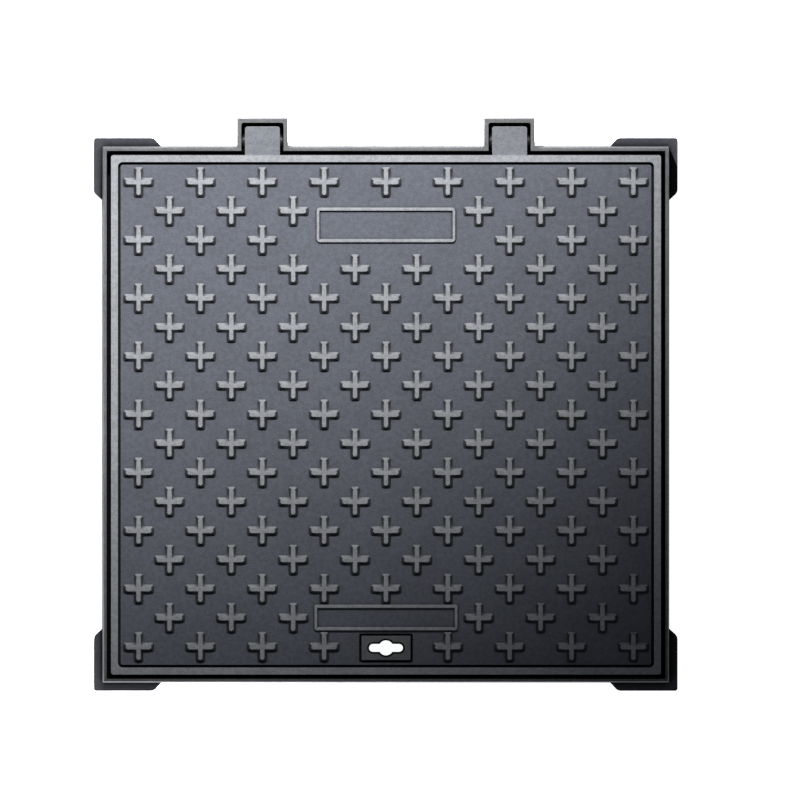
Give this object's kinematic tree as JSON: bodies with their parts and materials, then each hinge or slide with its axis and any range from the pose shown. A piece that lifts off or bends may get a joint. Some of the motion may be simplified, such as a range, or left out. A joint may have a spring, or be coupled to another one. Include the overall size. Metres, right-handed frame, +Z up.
{
  "type": "hinged manhole cover with frame",
  "caption": "Rectangular cast-iron manhole cover with plus-shaped tread studs and a T-key slot, hinged on pins in a cast frame with corner feet.",
  "frame": {"origin": "centre of the clear opening, on the frame's underside", "axes": "+Z up out of the ground, +Y toward the hinges, +X to the right when the hinges are at the far side"},
  "size_m": [0.7258, 0.7124, 0.08],
  "materials": {
    "coated_iron_cover": "black bitumen-coated ductile iron, satin",
    "coated_iron_frame": "black bitumen-coated ductile iron, matt",
    "pin_steel": "turned steel, black oxide",
    "fastener_steel": "steel, black oxide",
    "seat_rubber": "matt black rubber"
  },
  "bodies": {
    "frame": {"frame": "coated_iron_frame", "seat_strip_north": "seat_rubber", "seat_strip_south": "seat_rubber", "seat_strip_east": "seat_rubber", "seat_strip_west": "seat_rubber", "hinge_pin_left": "pin_steel", "hinge_pin_right": "pin_steel", "hinge_washer_left_inner": "fastener_steel", "hinge_washer_left_outer": "fastener_steel", "hinge_washer_right_inner": "fastener_steel", "hinge_washer_right_outer": "fastener_steel", "retaining_ring_left_inner": "fastener_steel", "retaining_ring_left_outer": "fastener_steel", "retaining_ring_right_inner": "fastener_steel", "retaining_ring_right_outer": "fastener_steel"},
    "cover": {"cover": "coated_iron_cover", "key_block": "coated_iron_cover", "key_block_screw_left": "fastener_steel", "key_block_screw_right": "fastener_steel"}
  },
  "joints": [
    {"name": "cover_hinge", "type": "hinge", "parent": "frame", "child": "cover", "pos_m": [0, 0.3392, 0.068], "axis": [-1, 0, 0], "range_deg": [0, 105]}
  ]
}
